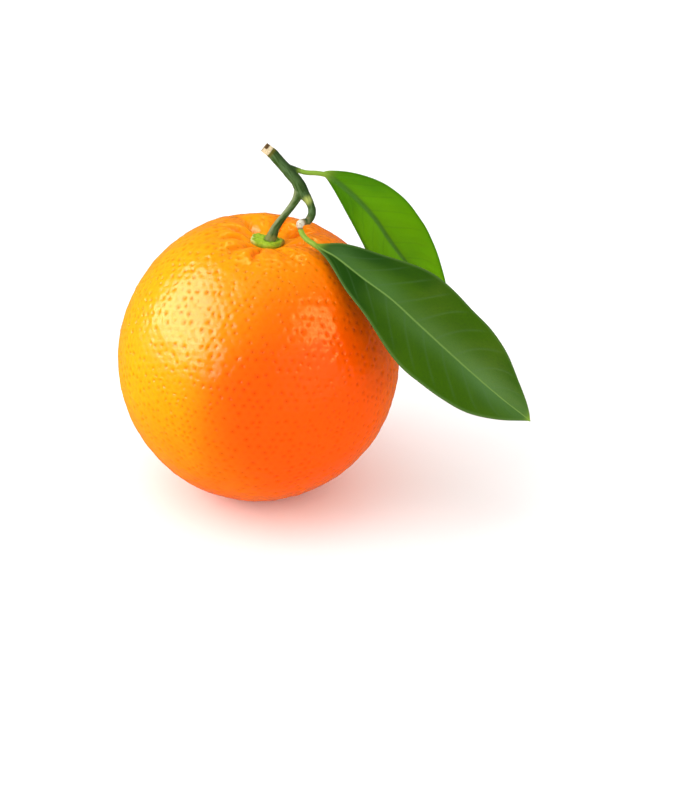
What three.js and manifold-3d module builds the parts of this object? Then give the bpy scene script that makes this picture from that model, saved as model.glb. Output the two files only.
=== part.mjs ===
// A whole orange as picked, with its green calyx, a short forked twig and two leaves.
// Millimetres, +Z up. The origin is the middle of the small flat spot that the fruit rests on.
// The twig leans to +X and the leaves hang over to the fruit's right, seen along +Y.
import * as THREE from "three";
import { mergeVertices } from "three/addons/utils/BufferGeometryUtils.js";
import Module from "manifold-3d";

const wasm = await Module();
wasm.setup();

// Driving sizes of the fruit.
const FRUIT_RADIUS = 40; // across
const FRUIT_HALF_HEIGHT = 41.8; // along the stem axis, before the stem end sinks in
const CENTRE_HEIGHT = 40.9; // the fruit's middle above the surface; what reaches below is the flat spot
const STEM_TILT = THREE.MathUtils.degToRad(5.6); // the stem axis leans to +X
const BOWL_DEPTH = 7; // how far the stem end sinks in
const BOWL_SPREAD = THREE.MathUtils.degToRad(14); // polar angle at which the bowl has mostly risen
const CREASE_FROM = THREE.MathUtils.degToRad(6.5); // polar angle at which the creases leave the calyx
const CREASE_AT = THREE.MathUtils.degToRad(12); // polar angle where the creases are deepest
const CREASE_REACH = THREE.MathUtils.degToRad(9.5); // how far they run on to either side of that
const SHOULDER_RISE = 0.35; // how far the peel between the creases swells
// The fruit isn't quite round: waves of its radius round the stem axis, strongest low on the fruit.
const UNEVEN = [
  { size: 0.22, lobes: 3, turn: 0.6, power: 2 },
  { size: 0.16, lobes: 5, turn: 2.1, power: 3 },
];
const PEEL_ROWS = 42; // from the stem end to the foot
const PEEL_COLUMNS = 72;
const CLOSER_ROWS = 0.38; // how much closer the rows lie at the stem end
// Each crease round the stem: heading from +X in degrees, half-width in degrees, depth in mm.
const CREASES = [
  { heading: 28, width: 12, depth: 0.9 },
  { heading: 72, width: 11, depth: 1.1 },
  { heading: 118, width: 12, depth: 1.7 },
  { heading: 163, width: 9, depth: 0.9 },
  { heading: 196, width: 8, depth: 0.8 },
  { heading: 232, width: 12, depth: 1.4 },
  { heading: 291, width: 9, depth: 0.6 },
  { heading: 338, width: 11, depth: 1.0 },
];

// Driving sizes of the calyx, the green button that the stalk stands on.
const CALYX_RADIUS = 4.3;
const CALYX_LOBES = 5;
const CALYX_LOBE_REACH = 0.3;
const CALYX_OVAL = 0.4; // wider across than from front to back
const CALYX_THICKNESS = 1.5;
const CALYX_COLLAR_RADIUS = 2.1;
const CALYX_COLLAR_RISE = 0.5;
const CALYX_COLLAR_OFFSET = 0.8; // the collar and the stalk stand to +X of the stem axis
const CALYX_RIM_OFFSET = -0.35; // and the rim reaches further to the other side
const CALYX_COLUMNS = 48;
const CALYX_LOBE_TURN = 0.5; // where the lobes stand round the stem axis, in radians
// Its outline from the middle of the underside to the middle of the top: out from the axis and up.
const CALYX_PROFILE = [
  [0, 0],
  [1.4, 0],
  [2.8, 0],
  [3.7, 0],
  [4.15, 0.08],
  [CALYX_RADIUS, 0.4],
  [4.15, 0.85],
  [3.7, 1.2],
  [3.1, 1.35],
  [2.6, 1.4],
  [CALYX_COLLAR_RADIUS, CALYX_THICKNESS + 0.15],
  [1.75, CALYX_THICKNESS + CALYX_COLLAR_RISE],
  [0, CALYX_THICKNESS + CALYX_COLLAR_RISE],
];

// Pieces that touch keep this gap.
const GAP = 0.3;

// The stalk and twig: centre points and radii, from the fruit upwards and from the cut end down.
const STALK = [
  { at: [5.6, 0.3, 80.9], r: 1.2 },
  { at: [7.8, 0.5, 84.1], r: 0.98 },
  { at: [10.2, 0.9, 87.1], r: 0.98 },
  { at: [11.5, 1.1, 89.2], r: 1.15 },
  { at: [12.3, 1.3, 91.1], r: 1.5 },
  { at: [12.4, 1.5, 92.4], r: 1.4 },
];
const STALK_FOOT = { height: 1, r: [1.5, 1.35] }; // on the calyx, before the stalk leans over
const TWIG = [
  { at: [2.8, 4.0, 103.1], r: 1.48 },
  { at: [5.1, 3.6, 101.3], r: 1.48 },
  { at: [6.8, 3.2, 99.4], r: 1.5 },
  { at: [8.4, 2.8, 97.7], r: 1.52 },
  { at: [9.8, 2.4, 96.1], r: 1.58 },
  { at: [11.4, 1.9, 94.4], r: 1.6 },
  { at: [12.5, 1.5, 92.6], r: 1.75 },
  { at: [13.3, 1.2, 91.0], r: 1.65 },
  { at: [14.7, 0.6, 89.1], r: 1.22 },
  { at: [15.5, 0.0, 87.5], r: 1.05 },
  { at: [15.8, -0.7, 86.3], r: 1.08 },
  { at: [15.6, -1.4, 85.3], r: 1.12 },
  { at: [14.9, -2.1, 84.3], r: 1.08 },
  { at: [14.4, -2.7, 83.6], r: 0.9 },
];
// The pale scar knob at the end of the side shoot, which the front leaf hangs from.
const KNOB = [
  { at: [14.7, -2.3, 83.9], r: 0.8 },
  { at: [13.4, -3.0, 84.1], r: 1.0 },
  { at: [12.5, -3.5, 83.8], r: 1.0 },
  { at: [12.6, -4.0, 82.7], r: 0.75 },
];
// The cushion on the twig that the back leaf grows from.
const CUSHION = [
  { at: [9.3, 2.7, 97.5], r: 1.1 },
  { at: [10.8, 3.0, 97.0], r: 0.88 },
  { at: [12.3, 3.4, 96.5], r: 0.66 },
];

// The leaves. midrib runs from the leaf stalk's root to the tip; the blade starts at bladeFrom of its
// length. across is the direction from the midrib to the blade's first side, at the base and at the tip.
// Each side has its own widest reach, and its own rise and fall, the powers with which it widens from
// the base and narrows to the tip.
const BLADE_THICKNESS = 0.8;
const NARROWEST_REACH = 0.35;
const BLADE_ROWS = 30; // from the blade's base to its tip
const BLADE_COLUMNS = 4; // on each side of the midrib
const FOLD_EASING = 0.35; // how much flatter the fold gets towards the edge
const SECOND_SIDE_PHASE = 2; // the second side's waves run this far ahead, in radians
// The leaf stalk runs on under the blade as the raised midrib, and thins out before the tip.
const RIB = { end: 0.94, radius: 0.42, thinnestAt: 0.83, sink: 0.2, sinkOver: 0.08, stations: 16 };
const LEAVES = {
  leaf_back: {
    midrib: [
      [12.8, 3.5, 96.2], [13.9, 3.8, 95.8], [15.2, 4.2, 95.5], [16.8, 4.8, 95.2], [19.4, 6.0, 94.2],
      [22.2, 7.4, 91.8], [27.8, 10.4, 85.6], [33.1, 13.6, 78.1], [37.6, 16.6, 69.9], [44.2, 20.0, 59.1],
      [50.4, 22.5, 49.8], [57.0, 24.5, 41.5],
    ],
    bladeFrom: 0.075,
    acrossBase: [0.62, 0.35, 0.7],
    acrossTip: [0.8, 0.1, 0.45],
    sides: [
      { reach: 10.9, rise: 0.95, fall: 1.05 },
      { reach: 7.8, rise: 1.1, fall: 1.05 },
    ],
    stalkRadius: 0.62,
    fold: 14,
    wave: 0.5,
    waves: 2.5,
  },
  leaf_front: {
    midrib: [
      [12.8, -4.4, 82.0], [13.3, -5.2, 81.2], [14.4, -6.4, 80.4], [16.2, -8.0, 79.8], [18.1, -9.4, 78.9],
      [21.9, -11.4, 77.5], [29.4, -15.0, 72.8], [37.0, -18.4, 68.2], [43.8, -20.9, 62.5], [50.4, -22.6, 56.6],
      [58.6, -24.6, 49.4], [67.0, -26.2, 42.2], [75.4, -27.4, 35.6],
    ],
    bladeFrom: 0.06,
    acrossBase: [0.5, 0.84, 0.2],
    acrossTip: [0.55, 0.8, 0.3],
    sides: [
      { reach: 16.3, rise: 0.94, fall: 0.82 },
      { reach: 15.8, rise: 1.4, fall: 1.1 },
    ],
    stalkRadius: 0.7,
    fold: 9,
    wave: 0.6,
    waves: 3,
  },
};

const colours = {
  peel: { color: 0xff8a00, roughness: 0.42 },
  calyx: { color: 0x8fae2a, roughness: 0.7 },
  bark: { color: 0x466b3c, roughness: 0.65 },
  leafBack: { color: 0x5a9a10, roughness: 0.45 },
  leafFront: { color: 0x24560f, roughness: 0.35 },
};

const vector = (xyz) => new THREE.Vector3(...xyz);
const angleBetween = (a, b) => Math.atan2(Math.sin(a - b), Math.cos(a - b));

// Distance from the fruit's middle to the peel, for an angle from the stem axis and a heading round it.
function peelRadius(polar, heading) {
  const s = Math.sin(polar);
  const c = Math.cos(polar);
  const oval = 1 / Math.hypot(s / FRUIT_RADIUS, c / FRUIT_HALF_HEIGHT);
  let uneven = 0;
  for (const { size, lobes, turn, power } of UNEVEN) {
    uneven += size * s ** power * Math.cos(lobes * heading + turn);
  }
  const bowl = BOWL_DEPTH * Math.exp(-((polar / BOWL_SPREAD) ** 2));
  const rise = THREE.MathUtils.smoothstep(polar, CREASE_FROM, CREASE_AT);
  const along = rise * Math.exp(-(((polar - CREASE_AT) / CREASE_REACH) ** 2));
  let crease = 0;
  for (const { heading: at, width, depth } of CREASES) {
    const off = angleBetween(heading, THREE.MathUtils.degToRad(at)) / THREE.MathUtils.degToRad(width);
    crease += depth * Math.exp(-off * off);
  }
  return oval + uneven - bowl + (SHOULDER_RISE - crease) * along;
}

// Leans a geometry made round the fruit's middle, stem axis up, and lifts it to its real height.
function placeOnStemAxis(geometry) {
  return geometry.rotateY(STEM_TILT).translate(0, 0, CENTRE_HEIGHT);
}

// A closed geometry's triangles as a solid for joining and cutting.
function solidOf(geometry) {
  const bare = new THREE.BufferGeometry().setAttribute("position", geometry.getAttribute("position"));
  bare.setIndex(geometry.index);
  const merged = mergeVertices(bare, 1e-4);
  return new wasm.Manifold(
    new wasm.Mesh({
      numProp: 3,
      vertProperties: merged.attributes.position.array,
      triVerts: new Uint32Array(merged.index.array),
    }),
  );
}

// A solid's triangles as a geometry.
function geometryOf(solid) {
  const { vertProperties, triVerts } = solid.getMesh();
  const geometry = new THREE.BufferGeometry();
  geometry.setAttribute("position", new THREE.BufferAttribute(new Float32Array(vertProperties), 3));
  geometry.setIndex(new THREE.BufferAttribute(new Uint32Array(triVerts), 1));
  geometry.computeVertexNormals();
  return geometry;
}

// A closed tube through centre points, its radius eased from point to point, with flat ends.
function taperedTube(stations, sides, steps) {
  const curve = new THREE.CatmullRomCurve3(stations.map(({ at }) => vector(at)), false, "centripetal");
  const frames = curve.computeFrenetFrames(steps, false);
  const positions = [];
  const index = [];
  for (let i = 0; i <= steps; i++) {
    const u = i / steps;
    const t = curve.getUtoTmapping(u) * (stations.length - 1);
    const k = Math.min(Math.floor(t), stations.length - 2);
    const radius = THREE.MathUtils.lerp(stations[k].r, stations[k + 1].r, t - k);
    const middle = curve.getPointAt(u);
    for (let j = 0; j < sides; j++) {
      const a = (j / sides) * 2 * Math.PI;
      const p = middle.clone()
        .addScaledVector(frames.normals[i], radius * Math.cos(a))
        .addScaledVector(frames.binormals[i], radius * Math.sin(a));
      positions.push(p.x, p.y, p.z);
    }
  }
  for (const end of [0, 1]) positions.push(...curve.getPointAt(end).toArray());
  const first = (steps + 1) * sides;
  for (let j = 0; j < sides; j++) {
    const next = (j + 1) % sides;
    for (let i = 0; i < steps; i++) {
      const a = i * sides + j;
      const b = i * sides + next;
      index.push(a, b, b + sides, a, b + sides, a + sides);
    }
    index.push(first, next, j, first + 1, steps * sides + j, steps * sides + next);
  }
  const geometry = new THREE.BufferGeometry();
  geometry.setAttribute("position", new THREE.Float32BufferAttribute(positions, 3));
  geometry.setIndex(index);
  return geometry;
}

// The whole fruit: a lathe with fine rows at the stem end, pressed to the peel's form and cut flat below.
function fruitGeometry() {
  const profile = [];
  for (let i = 0; i <= PEEL_ROWS; i++) {
    const u = i / PEEL_ROWS;
    const polar = Math.PI * THREE.MathUtils.lerp(u, u * u, CLOSER_ROWS);
    profile.push(new THREE.Vector2(i === 0 || i === PEEL_ROWS ? 0 : Math.sin(polar), Math.cos(polar)));
  }
  const geometry = new THREE.LatheGeometry(profile.reverse(), PEEL_COLUMNS).rotateX(Math.PI / 2);
  const position = geometry.getAttribute("position");
  const p = new THREE.Vector3();
  for (let i = 0; i < position.count; i++) {
    p.fromBufferAttribute(position, i).normalize();
    const polar = Math.acos(THREE.MathUtils.clamp(p.z, -1, 1));
    const heading = polar < 1e-6 || polar > Math.PI - 1e-6 ? 0 : Math.atan2(p.y, p.x);
    p.multiplyScalar(peelRadius(polar, heading));
    position.setXYZ(i, p.x, p.y, p.z);
  }
  const whole = solidOf(placeOnStemAxis(geometry));
  const below = solidOf(new THREE.BoxGeometry(FRUIT_RADIUS, FRUIT_RADIUS, 20).translate(0, 0, -10));
  return geometryOf(whole.subtract(below));
}

// Height of the peel over the fruit's middle near the stem axis, at a distance from the axis.
function bowlHeight(distance, heading) {
  let polar = Math.atan2(distance, FRUIT_HALF_HEIGHT - BOWL_DEPTH);
  for (let pass = 0; pass < 6; pass++) {
    polar = Math.asin(Math.min(1, distance / peelRadius(polar, heading)));
  }
  return peelRadius(polar, heading) * Math.cos(polar);
}

const CALYX_TOP = bowlHeight(0, 0) + GAP + CALYX_THICKNESS + CALYX_COLLAR_RISE;

// The calyx: a lobed button that lies in the bowl, with a collar round the stalk's foot.
function calyxGeometry() {
  const profile = CALYX_PROFILE.map(([x, y]) => new THREE.Vector2(x, y));
  const geometry = new THREE.LatheGeometry(profile, CALYX_COLUMNS).rotateX(Math.PI / 2);
  const position = geometry.getAttribute("position");
  const middle = bowlHeight(0, 0);
  for (let i = 0; i < position.count; i++) {
    const out = Math.hypot(position.getX(i), position.getY(i));
    const above = position.getZ(i);
    const heading = Math.atan2(position.getY(i), position.getX(i));
    const outer = THREE.MathUtils.smoothstep(out, CALYX_COLLAR_RADIUS, CALYX_RADIUS);
    const lobe = CALYX_LOBE_REACH * Math.cos(CALYX_LOBES * heading + CALYX_LOBE_TURN);
    const reach = out + (lobe + CALYX_OVAL * Math.cos(2 * heading)) * outer;
    const x = reach * Math.cos(heading) + THREE.MathUtils.lerp(CALYX_COLLAR_OFFSET, CALYX_RIM_OFFSET, outer);
    const y = reach * Math.sin(heading);
    const peel = bowlHeight(Math.hypot(x, y), Math.atan2(y, x));
    const upper = above > CALYX_THICKNESS / 20;
    const rest = upper ? THREE.MathUtils.lerp(middle, peel, outer) : peel;
    position.setXYZ(i, x, y, rest + GAP + above);
  }
  return placeOnStemAxis(geometry);
}

// The twig: the stalk, the cut twig with its side shoot, the leaf cushion and the scar knob, grown as one.
function twigGeometry() {
  const top = placeOnStemAxis(new THREE.BufferGeometry().setFromPoints([
    new THREE.Vector3(CALYX_COLLAR_OFFSET, 0, CALYX_TOP + GAP),
    new THREE.Vector3(CALYX_COLLAR_OFFSET, 0, CALYX_TOP + GAP + STALK_FOOT.height),
  ])).getAttribute("position");
  const foot = STALK_FOOT.r.map((r, i) => ({ at: [top.getX(i), top.getY(i), top.getZ(i)], r }));
  const branches = [
    taperedTube([...foot, ...STALK], 12, 14),
    taperedTube(TWIG, 12, 22),
    taperedTube(KNOB, 10, 6),
    taperedTube(CUSHION, 10, 5),
  ].map(solidOf);
  return geometryOf(branches.reduce((joined, branch) => joined.add(branch)));
}

// Half-width of one side of a blade at t of its length: drawn out at the base and pointed at the tip.
function bladeReach(t, { reach, rise, fall }) {
  const peak = rise / (rise + fall);
  const widest = peak ** rise * (1 - peak) ** fall;
  return (reach * Math.max(t, 1e-6) ** rise * Math.max(1 - t, 1e-6) ** fall) / widest;
}

// A leaf: an arched blade of even thickness, folded along its midrib and waved at its edges, on its stalk.
function leafGeometry({ midrib, bladeFrom, acrossBase, acrossTip, sides, stalkRadius, fold, wave, waves }) {
  const curve = new THREE.CatmullRomCurve3(midrib.map(vector), false, "centripetal");
  const along = BLADE_ROWS;
  const side = BLADE_COLUMNS;
  const foldAngle = THREE.MathUtils.degToRad(fold);
  const faces = [[], []];
  for (let i = 0; i <= along; i++) {
    const t = i / along;
    const u = bladeFrom + (1 - bladeFrom) * t;
    const middle = curve.getPointAt(u);
    const tangent = curve.getTangentAt(u);
    const across = vector(acrossBase).lerp(vector(acrossTip), t);
    across.addScaledVector(tangent, -across.dot(tangent)).normalize();
    const up = tangent.clone().cross(across).normalize();
    for (let j = -side; j <= side; j++) {
      const s = j / side;
      const shape = sides[j > 0 ? 0 : 1];
      const reach = Math.max(NARROWEST_REACH, bladeReach(t, shape));
      const phase = 2 * Math.PI * waves * t + (j > 0 ? 0 : SECOND_SIDE_PHASE);
      const ripple = wave * s * s * Math.sin(phase) * (bladeReach(t, shape) / shape.reach);
      const lift = Math.abs(s) * reach * Math.sin(foldAngle) * (1 - FOLD_EASING * Math.abs(s));
      const p = middle.clone()
        .addScaledVector(across, s * reach * Math.cos(foldAngle))
        .addScaledVector(up, lift + ripple);
      faces[0].push(p.clone().addScaledVector(up, BLADE_THICKNESS / 2));
      faces[1].push(p.clone().addScaledVector(up, -BLADE_THICKNESS / 2));
    }
  }
  const wide = 2 * side + 1;
  const lower = faces[0].length;
  const index = [];
  const quad = (a, b, c, d) => index.push(a, b, c, a, c, d);
  for (let i = 0; i < along; i++) {
    for (let j = 0; j < wide - 1; j++) {
      const a = i * wide + j;
      quad(a, a + wide, a + wide + 1, a + 1);
      index.push(lower + a, lower + a + wide + 1, lower + a + wide);
      index.push(lower + a, lower + a + 1, lower + a + wide + 1);
    }
    const left = i * wide;
    const right = left + wide - 1;
    quad(left, lower + left, lower + left + wide, left + wide);
    quad(right, right + wide, lower + right + wide, lower + right);
  }
  for (let j = 0; j < wide - 1; j++) {
    const tip = along * wide + j;
    quad(j, j + 1, lower + j + 1, lower + j);
    quad(tip, lower + tip, lower + tip + 1, tip + 1);
  }
  const blade = new THREE.BufferGeometry().setFromPoints([...faces[0], ...faces[1]]);
  blade.setIndex(index);

  const stations = [];
  for (let i = 0; i <= RIB.stations; i++) {
    const u = (i / RIB.stations) * RIB.end;
    const sink = THREE.MathUtils.smoothstep(u, bladeFrom, bladeFrom + RIB.sinkOver) * RIB.sink;
    const tangent = curve.getTangentAt(u);
    const across = vector(acrossBase).addScaledVector(tangent, -vector(acrossBase).dot(tangent)).normalize();
    const down = across.clone().cross(tangent);
    const at = curve.getPointAt(u).addScaledVector(down, sink).toArray();
    stations.push({ at, r: THREE.MathUtils.lerp(stalkRadius, RIB.radius, Math.min(1, u / RIB.thinnestAt)) });
  }
  const rib = taperedTube(stations, 8, 30);
  return geometryOf(solidOf(blade).add(solidOf(rib)));
}

function mesh(name, geometry, { color, roughness }) {
  const made = new THREE.Mesh(geometry, new THREE.MeshStandardMaterial({ color, roughness, metalness: 0 }));
  made.name = name;
  return made;
}

const orange = new THREE.Group();
orange.add(
  mesh("fruit", fruitGeometry(), colours.peel),
  mesh("calyx", calyxGeometry(), colours.calyx),
  mesh("twig", twigGeometry(), colours.bark),
  mesh("leaf_back", leafGeometry(LEAVES.leaf_back), colours.leafBack),
  mesh("leaf_front", leafGeometry(LEAVES.leaf_front), colours.leafFront),
);

export default orange;
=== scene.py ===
"""Dresses a whole orange: dimpled peel, green calyx, barked twig and veined leaves, in soft studio light.

Lengths are in millimetres and angles in degrees; each mesh is made in metres, in the part's frame.
"""

import itertools
import logging
import math
from collections.abc import Callable
from dataclasses import dataclass
from enum import Enum

import bpy
import numpy as np
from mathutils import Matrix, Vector, noise


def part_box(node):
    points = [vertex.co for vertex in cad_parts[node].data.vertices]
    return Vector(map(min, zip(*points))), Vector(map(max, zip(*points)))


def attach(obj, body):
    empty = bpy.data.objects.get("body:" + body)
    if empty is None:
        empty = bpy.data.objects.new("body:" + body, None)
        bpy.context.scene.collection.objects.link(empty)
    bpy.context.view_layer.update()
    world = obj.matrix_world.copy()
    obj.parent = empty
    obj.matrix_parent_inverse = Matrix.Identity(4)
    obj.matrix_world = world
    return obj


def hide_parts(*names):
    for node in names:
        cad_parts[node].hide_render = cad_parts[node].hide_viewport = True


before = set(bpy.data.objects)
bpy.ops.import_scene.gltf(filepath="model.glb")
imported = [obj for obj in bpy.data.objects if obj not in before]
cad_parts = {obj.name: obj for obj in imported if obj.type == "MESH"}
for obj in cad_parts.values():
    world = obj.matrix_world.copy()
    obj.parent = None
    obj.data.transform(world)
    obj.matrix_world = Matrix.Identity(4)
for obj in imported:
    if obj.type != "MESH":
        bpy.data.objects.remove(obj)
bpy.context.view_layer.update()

log = logging.getLogger("orange")

MM = 0.001
SEED = 2718
BODY = "root"

Point = tuple[float, float, float]
Colour = tuple[float, float, float]
Range = tuple[float, float]


class Slot(Enum):
    """The material slots."""

    PEEL = "peel"
    CALYX = "calyx"
    BARK = "bark"
    LEAF_LIGHT = "leaf_light"
    LEAF_DARK = "leaf_dark"


# Number helpers


def smoothstep(low: float, high: float, value: np.ndarray | float) -> np.ndarray:
    """Eases from 0 where the value is low to 1 where it is high; low may be the greater of the two."""
    share = np.clip((np.asarray(value, float) - low) / (high - low), 0.0, 1.0)
    return share * share * (3.0 - 2.0 * share)


def eased_degrees(limits: Range, angle: np.ndarray) -> np.ndarray:
    """Eases from 0 to 1 as an angle in radians goes between two limits in degrees."""
    return smoothstep(math.radians(limits[0]), math.radians(limits[1]), angle)


def bell(value: np.ndarray, centre: float, spread: float) -> np.ndarray:
    """A smooth bump: 1 where the value is at the centre, and about a third a spread away from it."""
    return np.exp(-(((value - centre) / spread) ** 2))


def angle_between(a: np.ndarray, b: np.ndarray | float) -> np.ndarray:
    """The signed angle from b to a, in radians, from -pi to pi."""
    return np.arctan2(np.sin(a - b), np.cos(a - b))


def unit(vectors: np.ndarray | Point) -> np.ndarray:
    """One vector, or several with one a row, scaled to length 1."""
    return np.asarray(vectors) / np.linalg.norm(vectors, axis=-1, keepdims=True)


def distance_to(spot: Point, places: np.ndarray) -> np.ndarray:
    """How far each place is from one spot."""
    return np.linalg.norm(places - np.array(spot), axis=1)


def noise_at(points: np.ndarray, grain: float, shift: float) -> np.ndarray:
    """Smooth noise between about -1 and 1.

    Args:
        points: places in millimetres, one a row.
        grain: size of the noise's lumps in millimetres.
        shift: an offset that gives a different noise.

    Returns:
        One number for each place.
    """
    scaled = points / grain + shift
    return np.array([noise.noise(Vector(row)) for row in scaled.tolist()])


def lumps_at(points: np.ndarray, layers: tuple[Point, ...]) -> np.ndarray:
    """Noises of several grains added up; each layer has a height, a grain and a shift."""
    return sum(height * noise_at(points, grain, shift) for height, grain, shift in layers)


class CentreLine:
    """A smooth line through chosen points, read by its share of the length."""

    SAMPLES = 24

    def __init__(self, points: list[Point]) -> None:
        """Fits the line.

        Args:
            points: the places it runs through, in millimetres.
        """
        chosen = np.array(points, float)
        ends = (2 * chosen[0] - chosen[1], 2 * chosen[-1] - chosen[-2])
        padded = np.vstack([ends[0], chosen, ends[1]])
        knots = np.sqrt(np.linalg.norm(np.diff(padded, axis=0), axis=1))
        rows = []
        shares = []
        for k in range(len(chosen) - 1):
            a, b, c, d = padded[k:k + 4]
            before, here, after = knots[k:k + 3]
            leave = ((b - a) / before - (c - a) / (before + here) + (c - b) / here) * here
            arrive = ((c - b) / here - (d - b) / (here + after) + (d - c) / after) * here
            last = k == len(chosen) - 2
            s = np.linspace(0, 1, self.SAMPLES + (1 if last else 0), endpoint=last)[:, None]
            rows.append(
                (2 * s**3 - 3 * s**2 + 1) * b + (s**3 - 2 * s**2 + s) * leave
                + (3 * s**2 - 2 * s**3) * c + (s**3 - s**2) * arrive
            )
            shares.append(k + s[:, 0])
        self.rows = np.vstack(rows)
        self.order = np.concatenate(shares)
        steps = np.linalg.norm(np.diff(self.rows, axis=0), axis=1)
        self.run = np.concatenate([[0.0], np.cumsum(steps)])
        self.length = float(self.run[-1])

    def at(self, share: np.ndarray) -> np.ndarray:
        """Points at shares of the length; below 0 the line runs on straight."""
        run = np.asarray(share, float) * self.length
        inside = np.stack([np.interp(run, self.run, self.rows[:, i]) for i in range(3)], axis=-1)
        start = unit(self.rows[1] - self.rows[0])
        return inside + np.minimum(run, 0.0)[:, None] * start

    def tangent(self, share: np.ndarray) -> np.ndarray:
        """Directions of the line at shares of its length, one a row."""
        step = 0.004
        low = np.clip(np.asarray(share, float) - step, 0, 1 - step)
        return unit(self.at(low + step) - self.at(low))

    def eased(self, share: np.ndarray, values: list[float]) -> np.ndarray:
        """Values given at the chosen points, read at shares of the length."""
        order = np.interp(np.asarray(share, float) * self.length, self.run, self.order)
        return np.interp(order, np.arange(len(values)), values)


# Mesh helpers


def make_piece(name: str, points: np.ndarray, faces: np.ndarray | list) -> bpy.types.Object:
    """A smooth-shaded mesh object.

    Args:
        name: the object's name.
        points: vertices in millimetres, one a row.
        faces: vertex numbers, one face a row.

    Returns:
        The object, linked to the scene.
    """
    mesh = bpy.data.meshes.new(name)
    mesh.from_pydata((points * MM).tolist(), [], faces.tolist() if isinstance(faces, np.ndarray) else faces)
    mesh.validate()
    mesh.shade_smooth()
    piece = bpy.data.objects.new(name, mesh)
    bpy.context.scene.collection.objects.link(piece)
    return piece


def paint(piece: bpy.types.Object, **layers: np.ndarray) -> None:
    """Stores values on the mesh for the piece's material to read, each layer under its own name.

    Args:
        piece: the object whose mesh takes the values.
        layers: one number, or one row of three numbers, for each vertex.
    """
    for name, values in layers.items():
        vector = values.ndim == 2
        layer = piece.data.attributes.new(name, "FLOAT_VECTOR" if vector else "FLOAT", "POINT")
        layer.data.foreach_set("vector" if vector else "value", values.astype(np.float32).ravel())


def rows_of(items: bpy.types.bpy_prop_collection, name: str) -> np.ndarray:
    """One vector of each of a mesh's items, one a row."""
    flat = np.empty(len(items) * 3, np.float32)
    items.foreach_get(name, flat)
    return flat.reshape(-1, 3).astype(float)


def move_to(piece: bpy.types.Object, points: np.ndarray) -> None:
    """Puts the piece's vertices at places given in millimetres."""
    piece.data.vertices.foreach_set("co", (points * MM).astype(np.float32).ravel())
    piece.data.update()


def ring_faces(rings: int, around: int) -> list[list[int]]:
    """Quads between closed rings of vertices, with a fan of one polygon over each end ring.

    Args:
        rings: how many rings there are.
        around: vertices in a ring.

    Returns:
        The faces, pointing out where each ring turns anticlockwise seen from the last ring.
    """
    i, j = np.meshgrid(np.arange(rings - 1), np.arange(around), indexing="ij")
    here = (i * around + j).ravel()
    beside = (i * around + (j + 1) % around).ravel()
    quads = np.stack([here, beside, beside + around, here + around], axis=1).tolist()
    quads.append(list(range(around))[::-1])
    quads.append(list(range((rings - 1) * around, rings * around)))
    return quads


def hand_over(piece: bpy.types.Object, node: str, material: bpy.types.Material) -> None:
    """Dresses a piece and lets it stand for its CAD node.

    Args:
        piece: the finished object.
        node: the CAD node that it replaces.
        material: its material.
    """
    piece.data.materials.append(material)
    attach(piece, BODY)
    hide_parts(node)
    log.info("%s: %d vertices, %d faces", piece.name, len(piece.data.vertices), len(piece.data.polygons))


# Shader helpers


def operator(operation: str, reflected: bool = False) -> Callable[["Wire", "Wire | float"], "Wire"]:
    """Makes one of Wire's operators: a Math node on two values; a reflected one has the Wire second."""

    def apply(wire: "Wire", other: "Wire | float") -> "Wire":
        """Joins the two values to the node."""
        return wire.math(operation, *((other, wire) if reflected else (wire, other)))

    return apply


class Wire:
    """A shader value that Python's operators work on: each adds the Math node that it stands for."""

    __add__ = operator("ADD")
    __radd__ = operator("ADD", reflected=True)
    __sub__ = operator("SUBTRACT")
    __rsub__ = operator("SUBTRACT", reflected=True)
    __mul__ = operator("MULTIPLY")
    __rmul__ = operator("MULTIPLY", reflected=True)

    def __init__(self, shader: "Shader", socket: bpy.types.NodeSocket) -> None:
        """Wraps an output socket of the shader's tree."""
        self.shader = shader
        self.socket = socket

    def math(self, operation: str, *values: "Wire | float") -> "Wire":
        """One Math node on the given values."""
        return self.shader.node("ShaderNodeMath", {"operation": operation}, dict(enumerate(values)))

    def step(self, low: float, high: float) -> "Wire":
        """Eases from 0 where the value is low to 1 where it is high."""
        settings = {"interpolation_type": "SMOOTHSTEP"}
        return self.shader.node("ShaderNodeMapRange", settings, {0: self, 1: low, 2: high, 3: 0.0, 4: 1.0})


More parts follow.
